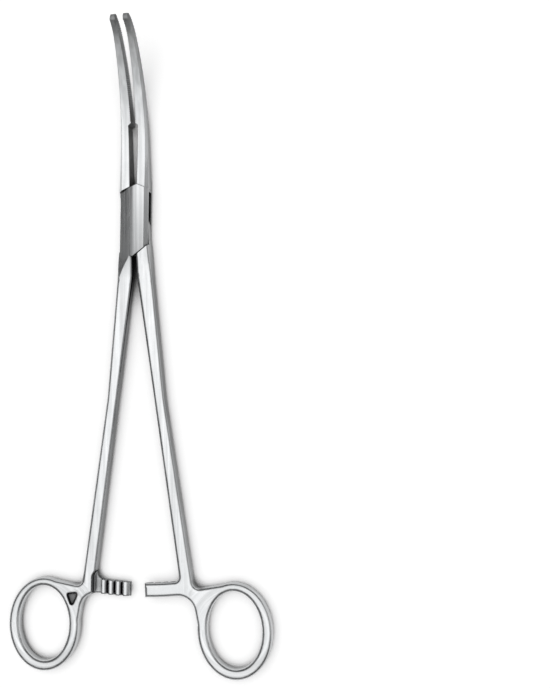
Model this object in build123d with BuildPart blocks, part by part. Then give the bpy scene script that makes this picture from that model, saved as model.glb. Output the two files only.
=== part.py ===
"""Dissecting forceps: two forged halves that cross in a box lock, with ratchet racks and finger rings.

The slotted half carries the right jaw and the left shank. The through half passes through its slot
and carries the left jaw and the right shank. A pin, ground flush on both faces, is their pivot.

Axes: X is the direction of opening, +Y runs from the rings to the jaw tips, and +Z is up. The
forceps lies on its back on the plane Z = 0 with its jaws curving upward. The pivot is the Z axis.
Both halves are drawn shut, about their common mid-plane, and are opened and raised at the end.
"""

import os
from math import cos, radians, sin, sqrt

from build123d import *

os.makedirs("parts", exist_ok=True)

# Opening, in degrees between the two halves
rest_opening = 2.4  # as the forceps lies
stop_opening = 60.0  # where the tongue meets the corners of the slot

# Box lock
lock_half_width = 5.0
lock_thickness = 6.2
lock_shoulder = 1.6  # slope from the lock's side to the jaw or shank beyond it
upper_seam = (10.3, 12.9)  # from the pivot to the left jaw, at the lock's side and at its far end
lower_seam = (8.2, 12.1)  # the same to the right shank
broad_bevel = (3.8, 1.3)  # width and depth, on the side of the left jaw in front
narrow_bevel = 1.2
tongue_thickness = 2.6
pin_diameter = 2.4
running_gap = 0.05  # between faces that slide on each other
seam_gap = 0.1  # between the edges that part as the lock opens
slot_recess = 1.0  # depth of the slot's open sides, beside the tongue
slot_recess_end = 10.4  # from the pivot
tongue_straight_end = 1.0  # from the pivot to where the tongue's side starts to slope inward

# Jaws
jaw_gap = 0.06  # between the serrated faces when shut
jaw_width_taper = 0.048  # loss of width for each millimetre toward the tip
jaw_height_taper = 0.020  # loss of width for each millimetre of rise
jaw_depth = 4.4  # at the start of the bend
jaw_bend_depth = 3.4  # between the two bends
jaw_tip_depth = 3.0
bend_start = 28.0  # pivot to the end of the straight part
bend_radius = 64.0
bend_angle = 31.5
tip_bend_radius = 14.0
tip_bend_angle = 28.5
serration_start = 35.0  # pivot to the first groove
serration_pitch = 0.66
serration_width = 0.5
serration_depth = 0.28
relief_depth = 1.0  # of the smooth hollow between the lock and the serrations
relief_slope = 0.8

# Shanks
shank_gap = 0.6  # between the two shanks at the lock
shank_fork = 18.6  # pivot to where they part
shank_fork_fillet = 15.0
shank_outer_middle = (9.0, -61.0)
shank_thickness = 4.4
shank_root = 22.0  # pivot to where the shank has lost the depth of the lock
shank_rounding = 1.3
facet_end = 28.0  # pivot to where the lock's broad bevel has run out along the shank

# Finger rings, as ovals. Places marked so are measured from the ring's centre
ring_centre = (30.9, -138.7)
ring_bore = (9.25, 12.8)  # half axes of the hole
ring_rod_inside = 3.6  # width of the rod toward the other ring
ring_rod_outside = 3.6
ring_rod_top = 2.8
ring_rod_bottom = 3.5
ring_to_shank = (-13.6, 13.3)  # corner between the ring and the shank's outer edge
ring_to_shoulder = (-2.4, 15.1)  # where the ring's outline leaves for that corner
ring_to_shank_inside = -18.5  # sideways, to the corner between the shank's inner edge and the rack
ring_to_stem = -14.4  # sideways, to the corner between the rack and the stem below it
ring_to_stem_end = (-12.6, 0.8)
valley_fillet = 2.2

# Ratchet
ring_to_rack = 15.3  # along the forceps, to the rack's upper edge at the centre line
rack_width = 4.8
rack_tip = 0.1  # from the centre line when shut
rack_top_fillet = 1.8
rack_bottom_fillet = 5.5
rack_space = 1.0  # between the facing sides of the two racks, which the teeth fill
pocket_end = 13.5  # from the centre line, in the root of the shank
pocket_rise = 3.8  # above the rack
pocket_radius = 2.6

# Forged dimple where the shank and the ring part
ring_to_dimple = ((-8.1, 10.9), (-13.1, 11.6), (-10.3, 5.4))
dimple_rounding = 0.9
dimple_depth = 1.0
dimple_slope = 0.5  # by which its floor is smaller all round

mid = lock_thickness / 2
half_gap = jaw_gap / 2
relief_face = half_gap + relief_depth

# Middle line of a jaw in side view, with the length of the forceps to the right and up to the top
with BuildLine() as spine:
    straight = Line((0, 0), (bend_start, 0))
    bend = JernArc(straight @ 1, straight % 1, bend_radius, bend_angle)
    tip_bend = JernArc(bend @ 1, bend % 1, tip_bend_radius, tip_bend_angle)


def edge_point(middle, depth):
    """Point beside the end of a stretch of the middle line, on the edge of a jaw of that depth."""
    return (middle @ 1) + (middle % 1).rotate(Axis.Z, 90) * (depth / 2)


# Jaw: its side view, given a tapering width and bevels along its outer side
jaw_root = upper_seam[0] - lock_shoulder
with BuildPart() as jaw:
    with BuildSketch(Plane.YZ.offset(half_gap)):
        with BuildLine():
            tips = []
            for side in (1, -1):
                neck = TangentArc(
                    edge_point(straight, side * jaw_depth),
                    (jaw_root, side * mid),
                    tangent=(straight % 1) * -1,
                )
                edge = TangentArc(
                    neck @ 0, edge_point(bend, side * jaw_bend_depth), tangent=straight % 1
                )
                tips.append(
                    TangentArc(edge @ 1, edge_point(tip_bend, side * jaw_tip_depth), tangent=edge % 1)
                )
            TangentArc(tips[1] @ 1, tips[0] @ 1, tangent=tips[1] % 1)
            Line((jaw_root, mid), (jaw_root, -mid))
        make_face()
    extrude(amount=lock_half_width)
    outer_face = Plane(
        origin=(lock_half_width, upper_seam[1], 0), z_dir=(1, jaw_width_taper, jaw_height_taper)
    )
    split(bisect_by=outer_face, keep=Keep.BOTTOM)
    outer_side = jaw.faces().filter_by(GeomType.PLANE).sort_by(Axis.X)[-1]
    chamfer(outer_side.edges().sort_by(Axis.Y)[1:], narrow_bevel)
    with BuildSketch():
        Polygon(
            (0, jaw_root),
            (relief_face, jaw_root),
            (relief_face, serration_start - serration_pitch - relief_slope),
            (0, serration_start - serration_pitch),
            align=None,
        )
    extrude(amount=mid, both=True, mode=Mode.SUBTRACT)


def grooves(first):
    """Cutters for the grooves across a jaw, from that distance past the start of the serrations."""
    line = spine.wire()
    count = int((line.length - serration_start - first) / serration_pitch) + 1
    with BuildPart() as cutters:
        for index in range(count):
            distance = serration_start + first + index * serration_pitch
            point = line.position_at(distance, position_mode=PositionMode.LENGTH)
            along = line.tangent_at(distance, position_mode=PositionMode.LENGTH)
            groove_plane = Plane(
                origin=(0, point.X, point.Y), x_dir=(0, along.X, along.Y), z_dir=(0, along.Y, -along.X)
            )
            with BuildSketch(groove_plane):
                Polygon(
                    (-serration_width / 2, 0),
                    (serration_width / 2, 0),
                    (0, half_gap + serration_depth),
                    align=None,
                )
        extrude(amount=jaw_depth, both=True)
    return cutters.part


# The right jaw starts at the lock's end, the left one deeper, on the tongue
with BuildPart() as right_jaw:
    add(jaw.part)
    add(grooves(0), mode=Mode.SUBTRACT)
    split(bisect_by=Plane.XZ.offset(lock_shoulder - upper_seam[1]), keep=Keep.BOTTOM)

with BuildPart() as left_jaw:
    add(jaw.part)
    add(grooves(serration_pitch / 2), mode=Mode.SUBTRACT)
    mirror(about=Plane.YZ, mode=Mode.REPLACE)

# Right handle: shank, rack and ring. The left one is the same, turned over about the Y axis
ring_half_width = ring_bore[0] + (ring_rod_inside + ring_rod_outside) / 2
ring_half_height = ring_bore[1] + (ring_rod_top + ring_rod_bottom) / 2
ring_outline_centre = (
    ring_centre[0] + (ring_rod_outside - ring_rod_inside) / 2,
    ring_centre[1] + (ring_rod_top - ring_rod_bottom) / 2,
)
handle_start = lock_shoulder - lower_seam[0]
handle_end = ring_outline_centre[1] - ring_half_height
rack_top_radius = -ring_centre[1] - ring_to_rack
rack_bottom_radius = rack_top_radius + rack_width


def from_ring(step):
    """Point at that step from the ring's centre."""
    return (ring_centre[0] + step[0], ring_centre[1] + step[1])


def on_circle(radius, across):
    """Point of a circle about the pivot, below it, at that distance from the centre line."""
    return (across, -sqrt(radius**2 - across**2))


valley = from_ring(ring_to_shank)
rack_upper_corner = on_circle(rack_top_radius, ring_centre[0] + ring_to_shank_inside)
rack_lower_corner = on_circle(rack_bottom_radius, ring_centre[0] + ring_to_stem)

# The lock's broad bevel, which runs on along the shank and out of its edge
outward = (shank_outer_middle[0] - lock_half_width) / (handle_start - shank_outer_middle[1])
facet_tip = (lock_half_width + outward * (facet_end + handle_start), -facet_end, -shank_thickness / 2)
with BuildPart() as facet:
    with BuildSketch(Plane.XZ.offset(lower_seam[1])) as facet_section:
        Polygon(
            (lock_half_width - broad_bevel[0], -mid),
            (lock_half_width + broad_bevel[0], -mid),
            (lock_half_width + broad_bevel[0], 2 * broad_bevel[1] - mid),
            align=None,
        )
    extrude(amount=-lower_seam[1] - handle_start)
    loft((facet_section.sketch, Vertex(*facet_tip)))

with BuildPart() as handle:
    with BuildSketch() as handle_plan:
        with BuildLine():
            outer = Polyline((lock_half_width, handle_start), shank_outer_middle, valley)
            Polyline(
                valley,
                from_ring(ring_to_shoulder),
                ring_outline_centre,
                from_ring(ring_to_stem_end),
                rack_lower_corner,
            )
            rack_bottom = ThreePointArc(
                rack_lower_corner,
                on_circle(rack_bottom_radius, rack_lower_corner[0] / 2),
                on_circle(rack_bottom_radius, rack_tip),
            )
            tip = Line(rack_bottom @ 1, on_circle(rack_top_radius, rack_tip))
            ThreePointArc(
                tip @ 1, on_circle(rack_top_radius, rack_upper_corner[0] / 2), rack_upper_corner
            )
            Polyline(
                rack_upper_corner,
                (shank_gap / 2, -shank_fork),
                (shank_gap / 2, handle_start),
                outer @ 0,
            )
        make_face()
        with Locations(ring_outline_centre):
            Ellipse(ring_half_width, ring_half_height)
        with Locations(ring_centre):
            Ellipse(*ring_bore, mode=Mode.SUBTRACT)
        for corner, radius in (
            (valley, valley_fillet),
            (rack_upper_corner, rack_top_fillet),
            (rack_lower_corner, rack_bottom_fillet),
            ((shank_gap / 2, -shank_fork), shank_fork_fillet),
        ):
            fillet(handle_plan.vertices().sort_by_distance(corner)[0], radius)
    extrude(amount=mid, both=True)
    with BuildSketch(Plane.YZ):
        with BuildLine():
            flat = Line((handle_end, shank_thickness / 2), (-shank_root, shank_thickness / 2))
            swell = TangentArc(flat @ 1, (-lower_seam[1], mid), tangent=flat % 1)
            Line(flat @ 0, (handle_end, 0))
            Polyline(swell @ 1, (handle_start, mid), (handle_start, 0))
            mirror(about=Plane.XZ)
        make_face()
    extrude(amount=2 * ring_centre[0], both=True, mode=Mode.INTERSECT)
    fillet(handle.faces().filter_by(Axis.Z).edges(), shank_rounding)

    add(facet.part, mode=Mode.SUBTRACT)

    # The rack is thinned on the side that faces the other rack, as is its root for that rack's tip
    with BuildSketch(Plane.XY.offset(rack_space / 2)) as hollow_plan:
        with Locations((0, pocket_rise - rack_top_radius)):
            Rectangle(pocket_end, pocket_rise + rack_width, align=(Align.MIN, Align.MAX))
        fillet(hollow_plan.vertices().sort_by(Axis.X)[-2:].sort_by(Axis.Y)[-1], pocket_radius)
    extrude(amount=-lock_thickness, mode=Mode.SUBTRACT)

    # Forged dimple between the stem and the ring
    with BuildSketch(Plane.XY.offset(-shank_thickness / 2)) as dimple_plan:
        Polygon(*[from_ring(corner) for corner in ring_to_dimple], align=None)
        fillet(dimple_plan.vertices(), dimple_rounding)
    with BuildSketch(Plane.XY.offset(dimple_depth - shank_thickness / 2)):
        add(dimple_plan.sketch_local)
        offset(amount=-dimple_slope)
    loft(mode=Mode.SUBTRACT)

# Its turned copy starts at the lock's end
with BuildPart() as left_handle:
    add(handle.part, rotation=(0, 180, 0))
    split(bisect_by=Plane.XZ.offset(lower_seam[1] - lock_shoulder), keep=Keep.TOP)

# Outline of the lock, up to the seams
with BuildSketch() as block_plan:
    Polygon(
        (-lock_half_width, upper_seam[0]),
        (relief_face, upper_seam[1]),
        (lock_half_width, upper_seam[1] - lock_shoulder),
        (lock_half_width, -lower_seam[0]),
        (-shank_gap / 2, -lower_seam[1]),
        (-lock_half_width, lock_shoulder - lower_seam[1]),
        align=None,
    )

# Tongue, and the slot that it turns in, up to the webs whose corners stop it
slot_side = lock_half_width - slot_recess
stop_angle = radians(stop_opening)
stop_corner = (slot_side, (lock_half_width - slot_side * cos(stop_angle)) / sin(stop_angle))
with BuildSketch() as tongue_plan:
    Polygon(
        (-lock_half_width, tongue_straight_end),
        (-stop_corner[0], -stop_corner[1]),
        (-shank_gap / 2, -lower_seam[1]),
        (lock_half_width, -lower_seam[0]),
        (lock_half_width, -tongue_straight_end),
        stop_corner,
        (relief_face, upper_seam[1]),
        (-lock_half_width, upper_seam[0]),
        align=None,
    )
    offset(amount=-seam_gap, kind=Kind.INTERSECTION)

with BuildSketch() as slot_plan:
    Polygon(
        (-lock_half_width, -slot_recess_end),
        (-slot_side, -slot_recess_end),
        (-stop_corner[0], -stop_corner[1]),
        (-shank_gap / 2, -lower_seam[1]),
        (lock_half_width, -lower_seam[1]),
        (lock_half_width, slot_recess_end),
        (slot_side, slot_recess_end),
        stop_corner,
        (relief_face, upper_seam[1]),
        (-lock_half_width, upper_seam[1]),
        align=None,
    )

with BuildPart() as shut_box_half:
    add(block_plan.sketch)
    extrude(amount=mid, both=True)
    with BuildSketch(Plane.XZ):
        Polygon(
            (-lock_half_width, mid - broad_bevel[1]),
            (broad_bevel[0] - lock_half_width, mid),
            (lock_half_width - narrow_bevel, mid),
            (lock_half_width, mid - narrow_bevel),
            (lock_half_width, broad_bevel[1] - mid),
            (lock_half_width - broad_bevel[0], -mid),
            (narrow_bevel - lock_half_width, -mid),
            (-lock_half_width, narrow_bevel - mid),
            align=None,
        )
    extrude(amount=2 * upper_seam[1], both=True, mode=Mode.INTERSECT)
    add(right_jaw.part)
    add(left_handle.part)
    add(slot_plan.sketch)
    extrude(amount=tongue_thickness / 2 + running_gap, both=True, mode=Mode.SUBTRACT)
    Hole(pin_diameter / 2)

with BuildPart() as shut_through_half:
    add(tongue_plan.sketch)
    extrude(amount=tongue_thickness / 2, both=True)
    add(left_jaw.part)
    add(handle.part)
    for face in (1, -1):
        with BuildSketch(Plane.XY.offset(face * tongue_thickness / 2)):
            add(block_plan.sketch)
            offset(amount=seam_gap, kind=Kind.INTERSECTION)
        extrude(amount=face * lock_thickness, mode=Mode.SUBTRACT)
    Hole(pin_diameter / 2 + running_gap)

# The two halves and the pin as they lie, a little open
with BuildPart() as box_half:
    with Locations(Location((0, 0, mid), (0, 0, -rest_opening / 2))):
        add(shut_box_half.part)

with BuildPart() as through_half:
    with Locations(Location((0, 0, mid), (0, 0, rest_opening / 2))):
        add(shut_through_half.part)

with BuildPart() as pivot_pin:
    Cylinder(pin_diameter / 2, lock_thickness, align=(Align.CENTER, Align.CENTER, Align.MIN))

box_half.part.label = "box_half"
through_half.part.label = "through_half"
pivot_pin.part.label = "pivot_pin"
export_step(box_half.part, "parts/box_half.step")
export_step(through_half.part, "parts/through_half.step")
export_step(pivot_pin.part, "parts/pivot_pin.step")
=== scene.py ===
"""Look of the dissecting forceps: ground steel, ratchet teeth, a white table and soft studio light.

Places are in the part's frame: +Y runs from the finger rings to the jaw tips, and +Z points up.
"""

import math

import bpy
from mathutils import Matrix


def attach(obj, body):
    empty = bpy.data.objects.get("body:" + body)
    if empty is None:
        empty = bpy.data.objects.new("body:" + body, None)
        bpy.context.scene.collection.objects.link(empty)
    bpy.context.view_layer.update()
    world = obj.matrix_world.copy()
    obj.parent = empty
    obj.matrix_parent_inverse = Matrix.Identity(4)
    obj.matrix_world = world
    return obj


MM = 0.001

# Places on the part at rest. A zone is the range over which an effect comes or goes
REST_OPENING = math.radians(2.4)
LEAN = 0.021  # tangent of half the opening, by which each half leans against Y
MIDDLE = 3.1 * MM
RING_X = 33.8 * MM
RING_Y = -138 * MM
RING_RADIUS = 14 * MM
RING_ZONE = (21 * MM, 16 * MM)
RACK_REACH = 17 * MM
RACK_TOP = -116 * MM
DIMPLE = (-23.1 * MM, -128.9 * MM, 4.6 * MM)
DIMPLE_ZONE = (3 * MM, 4 * MM)
DIMPLE_SHAPE = (1, 1, 5)  # it is shallow, so distances in Z count more
LOCK_FACE_Z = 5 * MM

# For each node, X of the finger ring that its grain follows, and how much its lock takes the satin
# finish and painted shade
FINISHES = {"box_half": (-RING_X, 1.0), "through_half": (RING_X, 0.0), "pivot_pin": (RING_X, 1.0)}

# Ratchet teeth
RACK_RADII = (123.4 * MM, 128.2 * MM)
RACK_TIP = 0.1 * MM
TOOTH_COUNT = 4
TOOTH_PITCH = 2.6 * MM
TOOTH_HEIGHT = 1.0 * MM
TOOTH_CREST = 1.1 * MM
TOOTH_LEAD = 1.5 * MM
TOOTH_UNDERCUT = 0.2 * MM
TOOTH_ROOT = 0.6 * MM
TOOTH_SEAT = 0.02 * MM

# Noise of the steel: waves per metre, across and along the grain, and the range that is used
STREAKS = (700, 14)
STREAK_RANGE = (0.35, 0.65)
NO_STREAK = 0.5
GRAIN = (7000, 220)
GRAIN_RANGE = (0.3, 0.7)
MOTTLE = 160

# Colour of the steel, and greys that it is multiplied by
DARK_STEEL = (0.54, 0.555, 0.565, 1)
PALE_STEEL = (0.65, 0.655, 0.66, 1)
# Painted shade in deep gaps, by how open the surface is
GAP_PAINTED_SHADE = [(0.0, 0.08), (0.35, 0.16), (0.65, 0.36), (0.85, 0.85), (0.94, 1.0)]
# Painted shade on the sides, by how little they face up
SIDE_PAINTED_SHADE = [(0.15, 0.48), (0.45, 0.68), (0.75, 0.78), (0.88, 1.0)]
STREAK_GREYS = (0.90, 1.14)
DIMPLE_GREY = 0.30
# Share of the sides' painted shade taken off near the rings
RING_SIDES_UNSHADED = 0.65
DEEP_GAP = 6 * MM
GAP_SAMPLES = 12

# How much darker and rougher the lock and the jaws' tips are; the lock's darkening is painted shade
LOCK_PAINTED_SHADE, SATIN_ROUGHER = 0.36, 0.15
BLASTED_DARKER, BLASTED_ROUGHER = 0.16, 0.40
POLISHED_ROUGHNESS = (0.12, 0.24)

# Effects along the length, as (Y in millimetres, strength) stops, after the part that holds them
JAWS = (0, 100)
SERRATED = [(32.5, 0.0), (34.5, 0.84)]
BLASTED = [(25, 0.0), (60, 1.0)]
# Painted shade at the very tips, dimming the ceiling's reflection on their rounded ends
DARKER_TIPS = [(63, 0.0), (66, 0.36)]
LOCK = (-50, 50)
# Satin on the lock, whose darkening is painted shade, strongest at its ring end
SATIN_AND_SHADE = [(-20, 0.0), (-12, 1.0), (-2, 0.6), (12, 0.0)]
CURVED = [(-17, 0.0), (-13, 1.0), (13, 1.0), (17, 0.0)]
SHANKS = (-200, 0)
# Painted shade on the sides, made deeper along the shanks near the lock
SIDE_SHADE_ALONG_SHANKS = [(-120, 0.0), (-65, 1.0), (-20, 1.0), (-10, 0.0)]

# Shading of edges and of the surface
EDGE_RADIUS = 0.25 * MM
HANDLE_EDGE_RADIUS = 0.6 * MM
EDGE_SAMPLES = 8
PIN_ZONE = (1.6 * MM, 2.4 * MM)
HANDLE_ZONE = (-18 * MM, -34 * MM)
LOCK_CURVE_ZONE = (-1.2 * MM, 2.0 * MM)
LOCK_CURVE_DROP = 0.55 * MM
STREAK_DEPTH = 0.06 * MM
GRAIN_DEPTH = 0.004 * MM
GRAIN_STRENGTH = 0.5

# Table
TABLE_SIZE = 8
TABLE_PAINT = (0.93, 0.93, 0.93, 1)
TABLE_ROUGHNESS = 0.9
TABLE_SHINE = 0.1
TABLE_GLOW = 0.32
CONTACT_GAP = 5 * MM
# Painted contact shadow on the table, by how open it is
CONTACT_PAINTED_SHADOW = [(0.28, 0.06), (0.52, 1.0)]

# Studio, by how far a direction agrees with the ceiling's middle, and with X
CEILING_MIDDLE = (0.0, 0.12, 0.99)
CEILING = [(0.0, 0.16), (0.4, 0.10), (0.56, 0.10), (0.68, 0.45), (0.8, 0.9), (1.0, 1.0)]
RIGHT_WALL = [(0.70, 0.0), (0.92, 0.35)]
STUDIO_STRENGTH = 1.45

# Camera, fitted to the photograph's outline
CAMERA_PLACE = (0.100396, -0.055557, 0.287591)
CAMERA_TURN = (2.3202, 10.3717, -0.7719)
CAMERA_LENS = 45.24
CAMERA_SENSOR = 36
CAMERA_NEAR = 10 * MM

# Inputs A and B of a Mix node, and its output
MIX_SOCKETS = {"FLOAT": (2, 3, 0), "VECTOR": (4, 5, 1), "RGBA": (6, 7, 2)}

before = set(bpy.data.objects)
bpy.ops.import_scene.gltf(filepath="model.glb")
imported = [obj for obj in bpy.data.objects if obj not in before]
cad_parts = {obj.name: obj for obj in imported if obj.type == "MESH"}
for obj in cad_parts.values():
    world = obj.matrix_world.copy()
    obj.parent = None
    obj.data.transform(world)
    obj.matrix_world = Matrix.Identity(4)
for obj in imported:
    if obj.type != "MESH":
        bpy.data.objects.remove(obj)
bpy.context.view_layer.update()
scene = bpy.context.scene
scene.view_settings.view_transform = "Standard"


class Nodes:
    """Shader nodes of a material or world. An input is a socket to link, or a value to set."""

    def __init__(self, owner):
        owner.use_nodes = True
        self.tree = owner.node_tree

    def fill(self, node, **inputs):
        """Fills inputs by the socket's name, or by its number as in _1."""
        for name, value in inputs.items():
            key = int(name[1:]) if name[1:].isdigit() else name.replace("_", " ")
            if isinstance(value, bpy.types.NodeSocket):
                self.tree.links.new(value, node.inputs[key])
            else:
                node.inputs[key].default_value = value

    def add(self, kind, settings=None, **inputs):
        node = self.tree.nodes.new(kind)
        for name, value in (settings or {}).items():
            setattr(node, name, value)
        self.fill(node, **inputs)
        return node

    def math(self, operation, *values):
        inputs = {f"_{i}": value for i, value in enumerate(values)}
        return self.add("ShaderNodeMath", {"operation": operation}, **inputs).outputs[0]

    def product(self, *values):
        result, *others = values
        for value in others:
            result = self.math("MULTIPLY", result, value)
        return result

    def split(self, vector):
        return self.add("ShaderNodeSeparateXYZ", Vector=vector).outputs

    def join(self, x, y, z=0.0):
        return self.add("ShaderNodeCombineXYZ", X=x, Y=y, Z=z).outputs[0]

    def vector(self, operation, first, second, output="Vector"):
        node = self.add("ShaderNodeVectorMath", {"operation": operation}, _0=first, _1=second)
        return node.outputs[output]

    def length(self, vector):
        return self.add("ShaderNodeVectorMath", {"operation": "LENGTH"}, _0=vector).outputs["Value"]

    def mix(self, data_type, factor, first, second, blend="MIX"):
        a, b, output = MIX_SOCKETS[data_type]
        node = self.add(
            "ShaderNodeMix", {"data_type": data_type, "blend_type": blend},
            Factor=factor, **{f"_{a}": first, f"_{b}": second},
        )
        return node.outputs[output]

    def between(self, value, zone, results=(0.0, 1.0), interpolation="LINEAR"):
        """Runs from the first result to the second as the value crosses the zone."""
        return self.add(
            "ShaderNodeMapRange", {"interpolation_type": interpolation}, Value=value,
            From_Min=zone[0], From_Max=zone[1], To_Min=results[0], To_Max=results[1],
        ).outputs[0]

    def ramp(self, factor, stops):
        """A colour ramp of greys, from (place, grey) stops."""
        node = self.add("ShaderNodeValToRGB", Fac=factor)
        while len(node.color_ramp.elements) < len(stops):
            node.color_ramp.elements.new(0.5)
        for element, (place, grey) in zip(node.color_ramp.elements, stops):
            element.position = place
            element.color = (grey, grey, grey, 1)
        return node.outputs["Color"]

    def along(self, y, part, stops):
        """Runs along a part of the length, from (Y in millimetres, strength) stops."""
        start, end = part
        factor = self.math("MULTIPLY_ADD", y, 1 / ((end - start) * MM), -start / (end - start))
        return self.ramp(factor, [((at - start) / (end - start), strength) for at, strength in stops])

    def noise(self, place, detail, roughness, scale=1):
        node = self.add(
            "ShaderNodeTexNoise", Vector=place, Scale=scale, Detail=detail, Roughness=roughness
        )
        return node.outputs[0]

    def openness(self, distance):
        """1 in the open, and less in gaps."""
        settings = {"samples": GAP_SAMPLES, "only_local": False}
        return self.add("ShaderNodeAmbientOcclusion", settings, Distance=distance).outputs["AO"]

    def bump(self, height, distance, normal, strength=1.0):
        node = self.add(
            "ShaderNodeBump", Strength=strength, Distance=distance, Height=height, Normal=normal
        )
        return node.outputs[0]


def steel(name, ring_x, lock_satin_and_shade):
    """Steel, polished along its length after grinding. The other values are those of FINISHES."""
    material = bpy.data.materials.new(name)
    nodes = Nodes(material)
    coordinates = nodes.add("ShaderNodeTexCoord").outputs
    place = coordinates["Object"]
    x, y, z = nodes.split(place)

    # The grain runs along the length, and around the ring near it
    right_of_ring, above_ring, _ = nodes.split(nodes.vector("SUBTRACT", place, (ring_x, RING_Y, 0)))
    radius = nodes.length(nodes.join(right_of_ring, above_ring))
    arc = nodes.product(nodes.math("ARCTAN2", above_ring, right_of_ring), RING_RADIUS)
    near_ring = nodes.between(radius, RING_ZONE, interpolation="SMOOTHSTEP")
    grain_place = nodes.mix("VECTOR", near_ring, place, nodes.join(radius, arc, z))

    def stretched(across, along):
        return nodes.vector("MULTIPLY", grain_place, (across, along, across))

    # The racks, ground the other way, have no streaks along the length
    near_middle = nodes.math("LESS_THAN", nodes.math("ABSOLUTE", x), RACK_REACH)
    on_rack = nodes.product(near_middle, nodes.math("LESS_THAN", y, RACK_TOP))
    long_waves = nodes.noise(stretched(*STREAKS), detail=2, roughness=0.5)
    waves = nodes.mix("FLOAT", on_rack, long_waves, NO_STREAK)
    grain = nodes.noise(stretched(*GRAIN), detail=3, roughness=0.6)

    # Painted shade: deep gaps are darkened by ambient occlusion, but the serrated faces keep more light
    # than the hollow behind them
    mottle = nodes.noise(place, detail=4, roughness=0.6, scale=MOTTLE)
    tone = nodes.mix("RGBA", mottle, DARK_STEEL, PALE_STEEL)
    lit = nodes.math("MAXIMUM", nodes.openness(DEEP_GAP), nodes.along(y, JAWS, SERRATED))
    gap_shaded = nodes.mix("RGBA", 1.0, tone, nodes.ramp(lit, GAP_PAINTED_SHADE), "MULTIPLY")

    # Dull finish and painted shade: blasted toward the jaws' tips, darker still at the very tips as
    # painted shade, and satin on the lock, whose darkening is painted shade
    blasted = nodes.along(y, JAWS, BLASTED)
    # Painted shade: the very tips darker still
    darker_tips = nodes.along(y, JAWS, DARKER_TIPS)
    satin_and_shade = nodes.product(nodes.along(y, LOCK, SATIN_AND_SHADE), lock_satin_and_shade)
    dull_and_shade = nodes.math(
        "SUBTRACT",
        nodes.math("MULTIPLY_ADD", satin_and_shade, -LOCK_PAINTED_SHADE, 1.0),
        nodes.math("MULTIPLY_ADD", blasted, BLASTED_DARKER, darker_tips),
    )

    # Painted shade: the sides are darker than the faces by how far they face sideways, darkest near the
    # lock and less so near the rings
    facing_up = nodes.math("ABSOLUTE", nodes.split(coordinates["Normal"])[2])
    facing_shade = nodes.ramp(facing_up, SIDE_PAINTED_SHADE)
    near_lock = nodes.along(y, SHANKS, SIDE_SHADE_ALONG_SHANKS)
    deeper_side_shade = nodes.math("POWER", facing_shade, nodes.math("ADD", near_lock, 1.0))
    side_shade = nodes.mix("FLOAT", nodes.product(near_ring, RING_SIDES_UNSHADED), deeper_side_shade, 1.0)

    # The dimple's colour is darker
    from_dimple = nodes.vector("MULTIPLY", nodes.vector("SUBTRACT", place, DIMPLE), DIMPLE_SHAPE)
    dimple_dark = nodes.between(nodes.length(from_dimple), DIMPLE_ZONE, (DIMPLE_GREY, 1.0))

    streaks = nodes.between(waves, STREAK_RANGE, STREAK_GREYS)
    colour = nodes.mix("RGBA", 1.0, gap_shaded, nodes.product(dull_and_shade, side_shade, dimple_dark, streaks), "MULTIPLY")

    polished = nodes.between(grain, GRAIN_RANGE, POLISHED_ROUGHNESS)
    satin_roughness = nodes.math("MULTIPLY_ADD", satin_and_shade, SATIN_ROUGHER, polished)
    roughness = nodes.math("MULTIPLY_ADD", blasted, BLASTED_ROUGHER, satin_roughness)

    # Soft edges, rounder on the handles, but none around the pin, whose ends are ground flush
    pin_distance = nodes.length(nodes.vector("MULTIPLY", place, (1, 1, 0)))
    edge_radius = nodes.between(pin_distance, PIN_ZONE, (0.0, EDGE_RADIUS))
    handle_radius = nodes.between(y, HANDLE_ZONE, (0.0, HANDLE_EDGE_RADIUS))
    bevel_radius = nodes.math("ADD", edge_radius, handle_radius)
    soft_edges = nodes.add("ShaderNodeBevel", {"samples": EDGE_SAMPLES}, Radius=bevel_radius).outputs[0]

    # The lock's flat runs into its broad bevel in a curve
    across_lock = nodes.math("MULTIPLY_ADD", y, -LEAN, x)
    inward = nodes.between(across_lock, LOCK_CURVE_ZONE, (1.0, 0.0))
    drop = nodes.product(inward, inward, -LOCK_CURVE_DROP)
    on_face = nodes.math("GREATER_THAN", z, LOCK_FACE_Z)
    lock_face = nodes.product(on_face, nodes.along(y, LOCK, CURVED), lock_satin_and_shade)
    curved = nodes.bump(nodes.product(drop, lock_face), 1.0, soft_edges)
    wavy = nodes.bump(waves, STREAK_DEPTH, curved)
    grainy = nodes.bump(grain, GRAIN_DEPTH, wavy, GRAIN_STRENGTH)

    nodes.fill(
        nodes.tree.nodes["Principled BSDF"],
        Base_Color=colour, Roughness=roughness, Metallic=1, Normal=grainy,
    )
    return material


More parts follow.
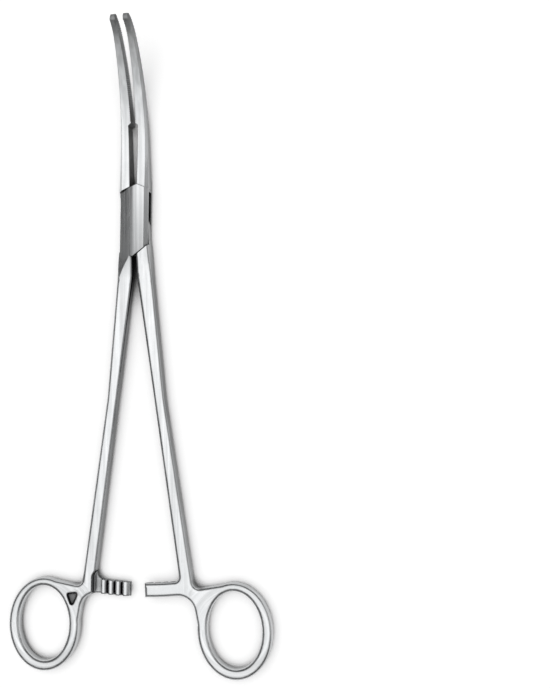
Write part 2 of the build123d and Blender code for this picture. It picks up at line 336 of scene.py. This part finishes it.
def teeth(name, body, material, turn):
    """Teeth of one rack: each steep toward the shank and ramped toward the rack's tip."""
    verts, faces = [], []
    root, top = TOOTH_HEIGHT / 2 + TOOTH_SEAT, -TOOTH_HEIGHT / 2
    foot = RACK_TIP
    for index in range(TOOTH_COUNT):
        crest = RACK_TIP + TOOTH_LEAD + index * TOOTH_PITCH
        end = crest + TOOTH_CREST
        outline = [(foot, root), (crest, top), (end, top), (end - TOOTH_UNDERCUT, root)]
        upper = range(len(verts), len(verts) + 4)
        lower = range(len(verts) + 4, len(verts) + 8)
        for radius in RACK_RADII:
            verts += [(x, -math.sqrt(radius**2 - x**2), z) for x, z in outline]
        faces += [tuple(upper), tuple(reversed(lower))]
        faces += [(upper[i], lower[i], lower[(i + 1) % 4], upper[(i + 1) % 4]) for i in range(4)]
        foot = end - TOOTH_UNDERCUT + TOOTH_ROOT
    mesh = bpy.data.meshes.new(name)
    mesh.from_pydata(verts, [], faces)
    mesh.transform(turn)
    mesh.update()
    mesh.materials.append(material)
    piece = bpy.data.objects.new(name, mesh)
    scene.collection.objects.link(piece)
    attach(piece, body)


for name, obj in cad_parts.items():
    obj.data.materials.clear()
    obj.data.materials.append(steel(f"{name}_steel", *FINISHES[name]))

# Ratchet teeth, on the racks' facing sides. The left row is the right one turned over
lift = Matrix.Translation((0, 0, MIDDLE))
teeth(
    "left_rack_teeth", "box_half", bpy.data.materials["box_half_steel"],
    lift @ Matrix.Rotation(-REST_OPENING / 2, 4, "Z") @ Matrix.Rotation(math.pi, 4, "Y"),
)
teeth(
    "right_rack_teeth", "through_half", bpy.data.materials["through_half_steel"],
    lift @ Matrix.Rotation(REST_OPENING / 2, 4, "Z"),
)

# White table, seen whiter than it lights the forceps, with painted shadow darkening it in narrow gaps
bpy.ops.mesh.primitive_plane_add(size=TABLE_SIZE)
table = bpy.context.object
table.name = "table"
white = bpy.data.materials.new("table_white")
table.data.materials.append(white)
nodes = Nodes(white)
rays = nodes.add("ShaderNodeLightPath").outputs
seen = nodes.math("MAXIMUM", rays["Is Camera Ray"], rays["Is Glossy Ray"])
seen = nodes.math("MAXIMUM", seen, rays["Is Transmission Ray"])
painted_contact_shadow = nodes.ramp(nodes.openness(CONTACT_GAP), CONTACT_PAINTED_SHADOW)
nodes.fill(
    nodes.tree.nodes["Principled BSDF"],
    Base_Color=nodes.mix("RGBA", 1.0, TABLE_PAINT, painted_contact_shadow, "MULTIPLY"),
    Roughness=TABLE_ROUGHNESS,
    Specular_IOR_Level=TABLE_SHINE,
    Emission_Color=(1, 1, 1, 1),
    Emission_Strength=nodes.product(seen, TABLE_GLOW, painted_contact_shadow),
)

# Studio: a bright ceiling of cloth, darker walls, and a pale wall on the right
scene.world = bpy.data.worlds.new("studio")
nodes = Nodes(scene.world)
direction = nodes.add("ShaderNodeTexCoord").outputs["Generated"]
upward = nodes.vector("DOT_PRODUCT", direction, CEILING_MIDDLE, "Value")
rightward = nodes.split(direction)[0]
light = nodes.mix("RGBA", 1.0, nodes.ramp(upward, CEILING), nodes.ramp(rightward, RIGHT_WALL), "ADD")
nodes.fill(nodes.tree.nodes["Background"], Color=light, Strength=STUDIO_STRENGTH)

# Camera, above the forceps and a little to its right
camera = bpy.data.objects.new("camera", bpy.data.cameras.new("camera"))
scene.collection.objects.link(camera)
scene.camera = camera
camera.data.sensor_width = CAMERA_SENSOR
camera.data.lens = CAMERA_LENS
camera.data.clip_start = CAMERA_NEAR
camera.location = CAMERA_PLACE
camera.rotation_euler = tuple(math.radians(angle) for angle in CAMERA_TURN)
